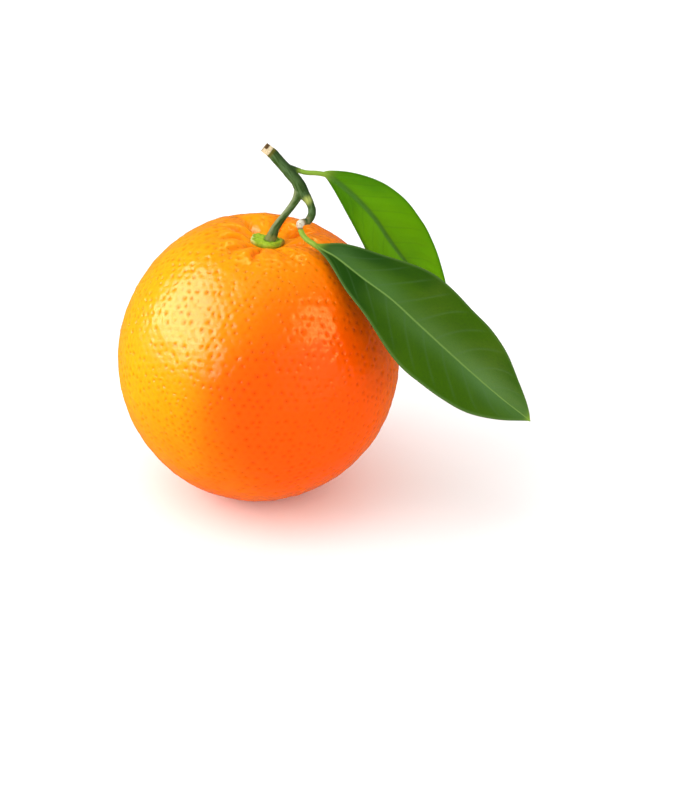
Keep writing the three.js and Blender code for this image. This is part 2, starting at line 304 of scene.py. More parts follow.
class Shader:
    """The node tree of one material."""

    def __init__(self, name: str) -> None:
        """Starts an empty tree.

        Args:
            name: the material's name.
        """
        self.material = bpy.data.materials.new(name)
        self.material.use_nodes = True
        self.tree = self.material.node_tree
        self.tree.nodes.clear()

    def node(self, kind: str, settings: dict, values: dict, out: int | str = 0) -> Wire:
        """Adds one node.

        Args:
            kind: the node's type.
            settings: its properties, set before its sockets.
            values: input sockets by number or name, each with a number, a colour or a Wire.
            out: the output that is wanted.

        Returns:
            That output.
        """
        made = self.tree.nodes.new(kind)
        for key, value in settings.items():
            setattr(made, key, value)
        for key, value in values.items():
            socket = made.inputs[key]
            if isinstance(value, Wire):
                self.tree.links.new(value.socket, socket)
            elif isinstance(value, tuple) and socket.type == "RGBA":
                socket.default_value = (*value, 1.0)
            else:
                socket.default_value = value
        return Wire(self, made.outputs[out])

    def place(self) -> Wire:
        """Places in the part's frame, in millimetres."""
        metres = self.node("ShaderNodeTexCoord", {}, {}, "Object")
        return self.node("ShaderNodeVectorMath", {"operation": "SCALE"}, {0: metres, "Scale": 1 / MM})

    def painted(self, name: str, out: str = "Fac") -> Wire:
        """A value stored on the mesh by paint."""
        return self.node("ShaderNodeAttribute", {"attribute_name": name}, {}, out)

    def grain(self, place: Wire, size: float, detail: float = 3.0, distortion: float = 0.0) -> Wire:
        """Noise from 0 to 1 with lumps of a size in millimetres."""
        values = {"Vector": place, "Scale": 1 / size, "Detail": detail, "Distortion": distortion}
        return self.node("ShaderNodeTexNoise", {}, values, "Fac")

    def mix(self, share: "Wire | float", first: "Wire | Colour", second: "Wire | Colour") -> Wire:
        """A colour from first, where share is 0, to second, where it is 1."""
        return self.node("ShaderNodeMix", {"data_type": "RGBA"}, {0: share, 6: first, 7: second}, 2)

    def coated(self, colour: "Wire | Colour", *coats: tuple["Wire | float", "Wire | Colour"]) -> Wire:
        """A colour with other colours laid over it in turn, each by its own share."""
        for share, coat in coats:
            colour = self.mix(share, colour, coat)
        return colour

    def worn(self, name: str, grain: Wire, edge: "Edge") -> Wire:
        """A painted value whose edge is broken up by grain."""
        return (self.painted(name) + (grain - 0.5) * edge.ragged).step(edge.low, edge.high)

    def bump(self, height: Wire, distance: float, strength: float) -> Wire:
        """A bumped normal, for a height from 0 to 1 and its real depth in millimetres."""
        values = {"Height": height, "Distance": distance * MM, "Strength": strength}
        return self.node("ShaderNodeBump", {}, values, "Normal")

    def principled(self, **sockets: "Wire | float | Colour") -> Wire:
        """A surface shader; a socket's name is written with _ for each space."""
        values = {key.replace("_", " "): value for key, value in sockets.items()}
        return self.node("ShaderNodeBsdfPrincipled", {}, values)

    def blend(self, share: Wire, first: Wire, second: Wire) -> Wire:
        """A surface from first, where share is 0, to second, where it is 1."""
        return self.node("ShaderNodeMixShader", {}, {0: share, 1: first, 2: second})

    def finish(self, surface: Wire) -> bpy.types.Material:
        """Joins the surface to the output and gives the material."""
        output = self.tree.nodes.new("ShaderNodeOutputMaterial")
        self.tree.links.new(surface.socket, output.inputs["Surface"])
        return self.material


@dataclass(frozen=True)
class Edge:
    """How a painted mark shows: the grain's share in it, and the values between which it eases in."""

    ragged: float
    low: float
    high: float


# The fruit


@dataclass(frozen=True)
class PeelFinish:
    """Waxy orange peel: yellower on its lit side (painted light), darker in its creases (painted shade),
    and redder on its front right and dark in its pores, partly by painted shade.
    """

    ripe: Colour = (0.96, 0.165, 0.0)
    # yellow of the painted light on the side toward the key light
    sunny: Colour = (0.93, 0.365, 0.0)
    # deep orange: random speckles, and the blush, which is the peel's deeper colour with painted shade
    deep: Colour = (0.97, 0.092, 0.0)
    # colour of the painted shade in the creases
    fold: Colour = (0.84, 0.125, 0.0)
    # colour of the pores: their own darker colour with painted shade in the pits
    pore: Colour = (0.31, 0.095, 0.0)
    # pore colour where the blush lies, which is partly painted shade
    deep_pore: Colour = (0.50, 0.030, 0.0)
    stem_end: Colour = (0.96, 0.33, 0.001)
    scar: Colour = (0.16, 0.075, 0.02)
    blush_edge: Edge = Edge(0.3, 0.55, 0.93)
    sun_edge: Edge = Edge(0.3, 0.52, 0.97)
    blush_over_pale: float = 0.6
    speckle_share: float = 0.16
    crease_share: float = 0.75
    pore_share: float = 0.8
    pore_dullness: float = 0.9
    roughness: float = 0.19
    roughness_spread: float = 0.16
    bump_depth: float = 0.16
    bump_strength: float = 0.75

    def make(self) -> bpy.types.Material:
        """Builds the material."""
        shader = Shader("waxy_peel")
        place = shader.place()
        blotch = shader.grain(place, 26.0, 2.0)
        cells = shader.grain(place, 1.5, 2.0)
        speckle = shader.grain(place, 1.1, 4.0).step(0.35, 0.75)
        skin = shader.grain(place, 0.45)
        # the peel's deeper colour with painted shade: redder on the front right, turned from the key light
        blush = shader.worn("blush", blotch, self.blush_edge)
        # pores: their own darker colour with painted shade in the pits
        pore = shader.painted("pore")
        colour = shader.coated(
            self.ripe,
            # painted light: yellower on the side toward the key light
            (shader.worn("sun", blotch, self.sun_edge), self.sunny),
            (blush, self.deep),
            # paler yellow: the stem end's own colour, with painted light toward the key light and a painted
            # highlight on a lit crease wall
            (shader.painted("pale") * (1 - self.blush_over_pale * blush), self.stem_end),
            (speckle * self.speckle_share, self.deep),
            # painted shade: darker, redder creases
            (shader.painted("crease") * self.crease_share, self.fold),
            (pore * self.pore_share, shader.mix(blush, self.pore, self.deep_pore)),
            (shader.painted("blossom"), self.scar),
        )
        rough = self.roughness + (skin - 0.5) * self.roughness_spread
        normal = shader.bump(skin * 0.35 + cells * 0.65, self.bump_depth, self.bump_strength)
        waxy = shader.principled(
            Base_Color=colour, Roughness=rough, Normal=normal, IOR=1.5, Specular_IOR_Level=0.12,
            Subsurface_Weight=0.10, Subsurface_Radius=(1.0, 0.25, 0.05), Subsurface_Scale=1.6 * MM,
        )
        dull = shader.principled(Base_Color=colour, Roughness=0.9, Normal=normal, Specular_IOR_Level=0.0)
        return shader.finish(shader.blend(pore * self.pore_dullness, waxy, dull))


@dataclass
class Fruit:
    """The whole fruit: a slightly tall ball with a creased stem end, dimpled all over by its oil pores."""

    half_height: float = 41.8
    centre_height: float = 40.9
    stem_tilt: float = 5.6
    three_sided: float = 0.22
    five_sided: float = 0.16
    bowl_depth: float = 7.0
    bowl_spread: float = 14.0
    shoulder_swell: float = 0.35
    crease_at: float = 12.0
    crease_rise: Range = (6.5, 12.0)
    crease_reach: float = 10.5
    creases: tuple[Point, ...] = (
        (28, 12, 0.9), (72, 11, 1.1), (124, 15, 1.6), (163, 9, 0.9),
        (196, 8, 0.8), (230, 11, 1.3), (256, 8, 1.2), (291, 9, 0.6), (338, 11, 1.0),
    )
    crease_bend: float = 0.05
    crease_bends: float = 40.0
    bite_width: float = 0.38
    bite_depth: float = 0.95
    # weights of the painted shade along the crease bottoms, in the creases and in the low wrinkles
    bite_line: float = 0.85
    crease_line: float = 0.22
    wrinkle_line: float = 1.1
    wrinkle_height: float = 0.5
    wrinkle_ring: float = 9.0
    wrinkle_run: float = 14.0
    wrinkle_grain: float = 2.1
    wrinkle_at: float = 16.0
    wrinkle_reach: float = 10.0
    pebbles: tuple[Point, ...] = ((0.18, 3.2, 0.0), (0.12, 8.0, 31.0), (0.09, 1.8, 57.0))
    pebble_gain: float = 0.7
    pore_rows: int = 21
    pore_split: int = 4
    ball_side: float = 1.05
    pore_jitter: float = 0.3
    pore_pinch: float = 0.47
    pinch_spread: Range = (0.8, 1.15)
    pore_wall: float = 0.28
    far_side_loss: float = 0.45
    wall_paint: float = 0.36
    shallow_paint: float = 0.35
    pore_swell: float = 0.045
    deep_share: float = 0.5
    deep_pore: Range = (0.26, 0.46)
    shallow_pore: Range = (0.05, 0.16)
    relief_rise: Range = (6.0, 12.0)
    pores_shown: Range = (8.0, 24.0)
    pale_zone: Range = (46.0, 12.0)
    pale_share: Range = (0.5, 0.96)
    floor_ease: float = 0.5
    scar_reach: float = 2.6
    lit_wall_at: float = 114.0
    lit_wall_reach: float = 11.0
    # direction of the painted lit side, toward the key light
    sunny_side: Point = (-0.93, -0.1, 0.33)
    # direction of the blush, which is partly painted shade, turned from the key light
    blushing_side: Point = (0.42, -0.9, 0.06)

    def __post_init__(self) -> None:
        """Takes the radius from the CAD node, so that the two can't differ."""
        low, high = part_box("fruit")
        self.radius = (high.x - low.x) / 2 / MM

    def peel_radius(self, polar: np.ndarray, heading: np.ndarray) -> np.ndarray:
        """Distance from the fruit's middle to its peel.

        Args:
            polar: angle from the stem axis, in radians.
            heading: angle round it from the leaning side, in radians.

        Returns:
            The distance in millimetres.
        """
        s = np.sin(polar)
        c = np.cos(polar)
        oval = 1 / np.hypot(s / self.radius, c / self.half_height)
        uneven = self.three_sided * s**2 * np.cos(3 * heading + 0.6)
        uneven = uneven + self.five_sided * s**3 * np.cos(5 * heading + 2.1)
        bowl = self.bowl_depth * bell(polar, 0.0, math.radians(self.bowl_spread))
        swell = self.shoulder_swell * self.shoulder(polar)
        return oval + uneven - bowl + swell - self.crease_depth(polar, heading)

    def shoulder(self, polar: np.ndarray) -> np.ndarray:
        """How strong the creases and the swellings between them are, at angles from the stem axis."""
        middle = math.radians(self.crease_at)
        return eased_degrees(self.crease_rise, polar) * bell(polar, middle, math.radians(self.crease_reach))

    def crease_depth(self, polar: np.ndarray, heading: np.ndarray, narrow: float = 1.0) -> np.ndarray:
        """Depth of the creases round the stem, in millimetres.

        Args:
            polar: angle from the stem axis, in radians.
            heading: angle round it, in radians.
            narrow: share of their full width; the narrow lines along their bottoms also waver.

        Returns:
            The depth, 0 between the creases.
        """
        depths = 0.0
        for at, width, depth in self.creases:
            middle = math.radians(at)
            if narrow < 1:
                middle = middle + self.crease_bend * np.sin(polar * self.crease_bends + at)
            aside = angle_between(heading, middle)
            depths = depths + depth * bell(aside, 0.0, math.radians(width * narrow))
        return depths * self.shoulder(polar)

    def stand(self, points: np.ndarray) -> np.ndarray:
        """Leans points given round the fruit's middle, stem axis up, and lifts them to their height."""
        tilt = math.radians(self.stem_tilt)
        x = points[:, 0] * math.cos(tilt) + points[:, 2] * math.sin(tilt)
        z = points[:, 2] * math.cos(tilt) - points[:, 0] * math.sin(tilt) + self.centre_height
        return np.stack([x, points[:, 1], z], axis=1)

    def peel_height(self, x: np.ndarray, y: np.ndarray) -> np.ndarray:
        """Height of the peel over the fruit's middle at places round the stem axis."""
        out = np.hypot(x, y)
        heading = np.arctan2(y, x)
        polar = np.arctan2(out, self.half_height - self.bowl_depth)
        for _ in range(6):
            polar = np.arcsin(np.clip(out / self.peel_radius(polar, heading), 0, 1))
        return self.peel_radius(polar, heading) * np.cos(polar)

    def lattice(self) -> tuple[np.ndarray, np.ndarray, np.ndarray, np.ndarray]:
        """A ball of even triangles, split from a coarser ball that has one of the pores at each of its
        corners.

        Returns:
            Directions of the vertices, triangles, and for each vertex the pores at its coarse
            triangle's corners with its share in each.
        """
        golden = (1 + math.sqrt(5)) / 2
        corners = np.array([
            row for a, b in itertools.product((-1, 1), (-golden, golden))
            for row in ((0, a, b), (a, b, 0), (b, 0, a))
        ], float)
        steps = self.pore_rows * self.pore_split
        i, j = np.array([(i, j) for i in range(steps + 1) for j in range(steps + 1 - i)]).T
        number = np.zeros((steps + 2, steps + 2), int)
        number[i, j] = np.arange(len(i))
        up = i + j < steps
        down = i + j < steps - 1
        local = np.vstack([
            np.stack([number[i, j], number[i + 1, j], number[i, j + 1]], 1)[up],
            np.stack([number[i + 1, j], number[i + 1, j + 1], number[i, j + 1]], 1)[down],
        ])
        coarse_i, part_i = np.divmod(i, self.pore_split)
        coarse_j, part_j = np.divmod(j, self.pore_split)
        share_i = part_i / self.pore_split
        share_j = part_j / self.pore_split
        far = share_i + share_j > 1
        weights = np.where(
            far[:, None],
            np.stack([share_i + share_j - 1, 1 - share_i, 1 - share_j], 1),
            np.stack([1 - share_i - share_j, share_i, share_j], 1),
        )
        own = np.stack([coarse_i + far, coarse_j + far], 1)
        along_i = np.stack([coarse_i + ~far, coarse_j + far], 1)
        along_j = np.stack([coarse_i + far, coarse_j + ~far], 1)
        corners_ij = np.stack([own, along_i, along_j], 1)
        corners_ij = np.where(weights[:, :, None] > 0, corners_ij, own[:, None, :]) * self.pore_split
        corners_ij = np.minimum(corners_ij, steps)
        pores = number[corners_ij[:, :, 0], corners_ij[:, :, 1]]
        rows, triangles, anchors, shares = [], [], [], []
        for a, b, c in itertools.combinations(range(12), 3):
            sides = np.linalg.norm(corners[[a, b, c]] - corners[[b, c, a]], axis=1)
            if not np.allclose(sides, 2.0):
                continue
            facing = np.dot(np.cross(corners[b] - corners[a], corners[c] - corners[a]), corners[a])
            b, c = (b, c) if facing > 0 else (c, b)
            base = len(rows) * len(i)
            rows.append(unit((corners[a] * (steps - i - j)[:, None] + corners[b] * i[:, None]
                              + corners[c] * j[:, None]) / steps))
            triangles.append(local + base)
            anchors.append(pores + base)
            shares.append(weights)
        points = np.vstack(rows)
        rounded = np.round(points * 1e5).astype(int)
        _, first, same = np.unique(rounded, axis=0, return_index=True, return_inverse=True)
        same = same.ravel()
        anchored = same[np.vstack(anchors)[first]]
        return points[first], same[np.vstack(triangles)], anchored, np.vstack(shares)[first]

    def build(self) -> bpy.types.Object:
        """Makes the peel's mesh, with its pores, pebbly skin and creases, and paints where each lies, with
        painted light and shade.
        """
        grid, triangles, pores, shares = self.lattice()
        count = len(grid)
        rng = np.random.default_rng(SEED)
        spacing = self.ball_side / self.pore_rows
        jitter = np.clip(rng.normal(0, 0.5, grid.shape), -1, 1) * self.pore_jitter * spacing
        directions = unit(grid + (shares[:, :, None] * jitter[pores]).sum(axis=1))
        nearest = pores[np.arange(count), shares.argmax(axis=1)]
        weight = shares.max(axis=1)
        centre = weight > 0.99
        ring = (weight > 0.7) & ~centre
        pinch = self.pore_pinch * rng.uniform(*self.pinch_spread, count)[nearest]
        pulled = directions[nearest] + (directions - directions[nearest]) * pinch[:, None]
        directions = np.where(ring[:, None], unit(pulled), directions)
        polar = np.arccos(np.clip(directions[:, 2], -1, 1))
        heading = np.arctan2(directions[:, 1], directions[:, 0])

        deep = rng.random(count) < self.deep_share
        depth = np.where(deep, rng.uniform(*self.deep_pore, count), rng.uniform(*self.shallow_pore, count))
        fade = eased_degrees(self.relief_rise, polar)
        pit = depth[nearest] * (centre + self.pore_wall * ring) * fade
        swell = self.pore_swell * (1 - weight) * fade
        zone = bell(polar, math.radians(self.wrinkle_at), math.radians(self.wrinkle_reach))
        pebbles = lumps_at(directions * self.radius, self.pebbles) * (1 + self.pebble_gain * zone)
        x, y = np.cos(heading) * self.wrinkle_ring, np.sin(heading) * self.wrinkle_ring
        round_stem = np.stack([x, y, polar * self.wrinkle_run], axis=1)
        wrinkles = self.wrinkle_height * zone * fade * noise_at(round_stem, self.wrinkle_grain, 11.0)
        bite = self.crease_depth(polar, heading, self.bite_width)
        skin = (pebbles + wrinkles) * (0.35 + 0.65 * fade)
        radius = self.peel_radius(polar, heading) - pit + swell + skin
        points = self.stand(directions * (radius - self.bite_depth * bite)[:, None])
        height = points[:, 2]
        points[:, 2] = 0.5 * (height + np.sqrt(height**2 + self.floor_ease**2))
        piece = make_piece("orange_peel", points, triangles)

        # the pores' painted shade is weaker on the shade side and fades out near the stem
        far_side = np.clip(2 * directions[:, 0], 0, 1)
        shown = eased_degrees(self.pores_shown, polar) * (1 - self.far_side_loss * far_side)
        stem_end = eased_degrees(self.pale_zone, polar)
        # stronger on the side toward the key light, as painted light
        turned = np.clip(0.8 - 0.7 * directions[:, 0], *self.pale_share)
        # painted highlight: a pale lit wall on the crease behind the calyx
        lit_wall = bell(heading, math.radians(self.lit_wall_at), math.radians(self.lit_wall_reach))
        lit_wall = lit_wall * self.shoulder(polar)
        # painted shade in the creases, along their narrow bottoms and in the low wrinkles
        line = self.crease_line * self.crease_depth(polar, heading) + self.bite_line * bite
        line = np.clip(line - self.wrinkle_line * wrinkles, 0, 1)
        # painted shade in the pits over the pores' own darker colour, less in shallow pits
        darkness = np.where(deep[nearest], 1.0, self.shallow_paint) * shown
        paint(
            piece,
            pore=(centre + self.wall_paint * ring) * darkness,
            # the stem end's own paler colour, with painted light and a painted highlight
            pale=np.clip(stem_end * turned + lit_wall, 0, 1),
            blossom=bell(math.pi - polar, 0.0, math.radians(self.scar_reach)),
            # painted shade in the creases, lifted where the lit wall is painted
            crease=line * (1 - 0.95 * np.clip(1.6 * lit_wall, 0, 1)),
            # painted light: how far each place faces the key light
            sun=0.5 + 0.5 * (directions @ unit(self.sunny_side)),
            # the peel's deeper colour with painted shade, on the front right
            blush=np.clip(directions @ unit(self.blushing_side), 0, 1),
        )
        return piece

    def make(self) -> None:
        """Builds, dresses and hands over the fruit."""
        hand_over(self.build(), "fruit", PeelFinish().make())


# The calyx


@dataclass(frozen=True)
class CalyxFinish:
    """A fleshy yellow-green button: paler at its rim, darker in its hollows by painted shade, brown at its
    dry tip.
    """

    flesh: Colour = (0.31, 0.45, 0.022)
    pale: Colour = (0.66, 0.68, 0.24)
    dark: Colour = (0.13, 0.24, 0.012)
    dry: Colour = (0.24, 0.16, 0.012)
    rim_edge: Edge = Edge(0.9, 0.45, 1.0)
    foot_edge: Edge = Edge(0.8, 0.35, 0.9)
    dry_edge: Edge = Edge(0.6, 0.15, 0.75)
    hollow_share: float = 0.75
    roughness: float = 0.55
    roughness_spread: float = 0.3
    bump_depth: float = 0.16
    bump_strength: float = 0.8

    def make(self) -> bpy.types.Material:
        """Builds the material."""
        shader = Shader("calyx_flesh")
        place = shader.place()
        patch = shader.grain(place, 1.6)
        fine = shader.grain(place, 0.35)
        colour = shader.coated(
            self.flesh,
            (shader.worn("rim", patch, self.rim_edge), self.pale),
            (shader.worn("foot", patch, self.foot_edge), self.dark),
            # painted shade: darker in the hollows between the lumps
            (shader.painted("hollow").step(0.35, 1.0) * self.hollow_share, self.dark),
            (shader.worn("dry", patch, self.dry_edge), self.dry),
        )
        return shader.finish(shader.principled(
            Base_Color=colour, Roughness=self.roughness + (fine - 0.5) * self.roughness_spread,
            Normal=shader.bump(fine * 0.6 + patch * 0.4, self.bump_depth, self.bump_strength),
            Specular_IOR_Level=0.05,
            Subsurface_Weight=0.1, Subsurface_Radius=(0.6, 1.0, 0.2), Subsurface_Scale=0.8 * MM,
        ))


@dataclass
class Calyx:
    """The green button in the stem end's bowl, lobed at its rim, with a welt round the stalk's foot."""

    fruit: Fruit
    radius: float = 4.3
    lobes: int = 5
    lobe_turn: float = 0.5
    lobe_reach: float = 0.22
    oval: float = 0.4
    groove: float = 0.12
    collar_radius: float = 2.1
    collar_offset: float = 0.8
    rim_offset: float = -0.35
    sunk: float = 0.15
    lift: float = 0.3
    hollow_slope: float = 2.2
    welt_height: float = 0.28
    welt_at: float = 2.7
    welt_reach: float = 0.5
    foot_at: float = 1.9
    foot_reach: float = 0.55
    lumps: tuple[Point, ...] = ((0.34, 1.15, 12.0), (0.12, 0.6, 9.0))
    pale_tip: float = math.pi
    dry_tip: float = -0.1
    tip_reach: float = 0.5
    across: int = 150
    rings: int = 64
    profile: tuple[Range, ...] = (
        (0.0, 0.0), (2.8, 0.0), (3.95, 0.0), (4.25, 0.12), (4.3, 0.32), (4.15, 0.62), (3.8, 0.98),
        (3.3, 1.34), (2.7, 1.66), (2.2, 1.9), (1.8, 2.06), (1.2, 2.1), (0.02, 2.08),
    )

    def build(self) -> bpy.types.Object:
        """Makes the button's mesh and paints its rim, its dry tip, painted shade in its hollows and the
        stalk's foot.
        """
        line = CentreLine([(out, up, 0.0) for out, up in self.profile]).at(np.linspace(0, 1, self.rings))
        heading = np.linspace(0, 2 * math.pi, self.across, endpoint=False)
        out, turn = np.meshgrid(line[:, 0], heading, indexing="ij")
        above = np.repeat(line[:, 1:2], self.across, axis=1)
        outer = smoothstep(self.collar_radius, self.radius, out)
        upper = smoothstep(0.0, 0.5, above)
        lobed = self.lobes * turn + self.lobe_turn
        reach = out + (self.lobe_reach * np.cos(lobed) + self.oval * np.cos(2 * turn)) * outer
        x = reach * np.cos(turn) + self.collar_offset * (1 - outer) + self.rim_offset * outer
        y = reach * np.sin(turn)
        middle = self.fruit.peel_height(np.zeros(1), np.zeros(1))[0]
        peel = self.fruit.peel_height(x, y)
        rest = peel + (middle - peel) * (1 - outer) * upper
        seat = np.where(above < 0.05, -self.sunk, self.lift * upper - self.sunk * (1 - upper))
        flat = np.stack([x.ravel(), y.ravel(), np.zeros(x.size)], axis=1)
        groove = np.cos(lobed + math.pi) * self.groove * outer * upper
        lumps = lumps_at(flat, self.lumps).reshape(x.shape) * upper
        lumps = lumps + self.welt_height * bell(out, self.welt_at, self.welt_reach) * upper
        z = rest + above + seat + lumps - groove
        points = self.fruit.stand(np.stack([x.ravel(), y.ravel(), z.ravel()], axis=1))
        piece = make_piece("calyx_button", points, ring_faces(self.rings, self.across))
        pale_tip = bell(angle_between(turn, self.pale_tip), 0.0, self.tip_reach)
        dry_tip = bell(angle_between(turn, self.dry_tip), 0.0, self.tip_reach)
        paint(
            piece,
            rim=(outer**3 * (0.45 + 0.55 * pale_tip)).ravel(),
            dry=(outer**2 * dry_tip).ravel(),
            # painted shade, deeper where the surface lies lower
            hollow=np.clip(0.5 - (lumps - groove) * self.hollow_slope, 0, 1).ravel(),
            foot=(upper * bell(out, self.foot_at, self.foot_reach)).ravel(),
        )
        return piece

    def make(self) -> None:
        """Builds, dresses and hands over the calyx."""
        hand_over(self.build(), "calyx", CalyxFinish().make())


# The twig


@dataclass(frozen=True)
class BarkFinish:
    """Green, bluish-bloomed bark with painted light and shade on its sides: pale wood at the cut, a
    yellowish node and a whitish leaf scar.
    """

    bark: Colour = (0.038, 0.084, 0.013)
    bloom: Colour = (0.078, 0.145, 0.048)
    stripe: Colour = (0.022, 0.050, 0.008)
    wood: Colour = (0.74, 0.62, 0.40)
    pith: Colour = (0.24, 0.16, 0.08)
    node: Colour = (0.40, 0.47, 0.11)
    scar: Colour = (0.66, 0.62, 0.50)
    foot: Colour = (0.18, 0.20, 0.05)
    sprout: Colour = (0.19, 0.30, 0.035)
    edge: Colour = (0.12, 0.095, 0.012)
    burn: Colour = (0.10, 0.055, 0.022)
    # colours of the painted shade side and the painted lit side
    shadow_side: Colour = (0.016, 0.040, 0.010)
    pale_side: Colour = (0.230, 0.270, 0.130)
    near_edge: Edge = Edge(0.6, 0.35, 1.0)
    node_edge: Edge = Edge(0.5, 0.3, 0.9)
    foot_edge: Edge = Edge(0.6, 0.35, 0.95)
    scar_edge: Edge = Edge(0.5, 0.35, 0.7)
    wood_edge: Edge = Edge(0.35, 0.42, 0.58)
    burn_edge: Edge = Edge(0.5, 0.35, 0.75)
    stripe_share: float = 0.7
    shadow_share: float = 0.85
    ring_share: float = 0.8
    roughness: float = 0.48
    roughness_spread: float = 0.2
    wood_roughness: float = 0.25
    bump_depth: float = 0.14
    bump_strength: float = 0.9

    def make(self) -> bpy.types.Material:
        """Builds the material."""
        shader = Shader("green_bark")
        place = shader.place()
        fibre = shader.grain(shader.painted("strand", "Vector"), 0.5)
        patch = shader.grain(place, 3.0)
        fine = shader.grain(place, 0.25)
        scar = shader.worn("scar", fibre, self.scar_edge)
        cracks = shader.grain(place, 0.6, 4.0, 0.6).step(0.5, 0.62) * scar
        wood = shader.worn("cut", fibre, self.wood_edge)
        colour = shader.coated(
            self.bark,
            # the bark's own bluish bloom, in random patches
            ((patch * 0.6 + fibre * 0.4).step(0.38, 0.62), self.bloom),
            ((1 - fibre).step(0.45, 0.75) * self.stripe_share, self.stripe),
            # painted shade on the side away from the key light, painted light on the side toward it
            (shader.painted("far_side").step(0.1, 1.0) * self.shadow_share, self.shadow_side),
            (shader.worn("near_side", patch, self.near_edge), self.pale_side),
            (shader.worn("node", fibre, self.node_edge), self.node),
            (shader.worn("foot", fibre, self.foot_edge), self.foot),
            (shader.painted("sprout"), self.sprout),
            (scar, self.scar),
            (cracks * 0.7, self.pith),
            (shader.painted("ring") * self.ring_share, self.pith),
            (wood, self.wood),
            (wood * fine.step(0.4, 0.7) * 0.5, self.pith),
            # browner on the upper side near the cut
            (shader.worn("burn", fibre, self.burn_edge), self.burn),
            (shader.painted("edge") * (0.4 + fibre * 0.9), self.edge),
            (shader.painted("pith") * (0.5 + fine * 0.8), self.pith),
        )
        rough = self.roughness + wood * self.wood_roughness + (fine - 0.5) * self.roughness_spread
        normal = shader.bump(fibre * 0.6 + fine * 0.4, self.bump_depth, self.bump_strength)
        return shader.finish(shader.principled(
            Base_Color=colour, Roughness=rough, Normal=normal, Specular_IOR_Level=0.04,
        ))


@dataclass(frozen=True)
class Branch:
    """One branch of the twig: its centre points and the radius at each."""

    points: tuple[Point, ...]
    radii: tuple[float, ...]

    def stations(self, count: int) -> tuple[np.ndarray, np.ndarray, np.ndarray, np.ndarray]:
        """Evenly spaced stations along the branch.

        Args:
            count: how many there are.

        Returns:
            Their middles, directions and radii, and how far along the branch each lies.
        """
        line = CentreLine(list(self.points))
        share = np.linspace(0, 1, count)
        return line.at(share), line.tangent(share), line.eased(share, list(self.radii)), share * line.length

    def tube(self, sides: int, rings: int) -> tuple[np.ndarray, list[list[int]]]:
        """A closed tube.

        Args:
            sides: vertices in a ring.
            rings: rings along it.

        Returns:
            Its vertices in millimetres and its faces.
        """
        middle, forward, radius, _ = self.stations(rings)
        first = unit(np.cross(forward, [0.0, 1.0, 0.2]))
        second = np.cross(forward, first)
        turn = np.linspace(0, 2 * math.pi, sides, endpoint=False)
        ring = np.cos(turn)[None, :, None] * first[:, None] + np.sin(turn)[None, :, None] * second[:, None]
        points = middle[:, None] + ring * radius[:, None, None]
        return points.reshape(-1, 3), ring_faces(rings, sides)


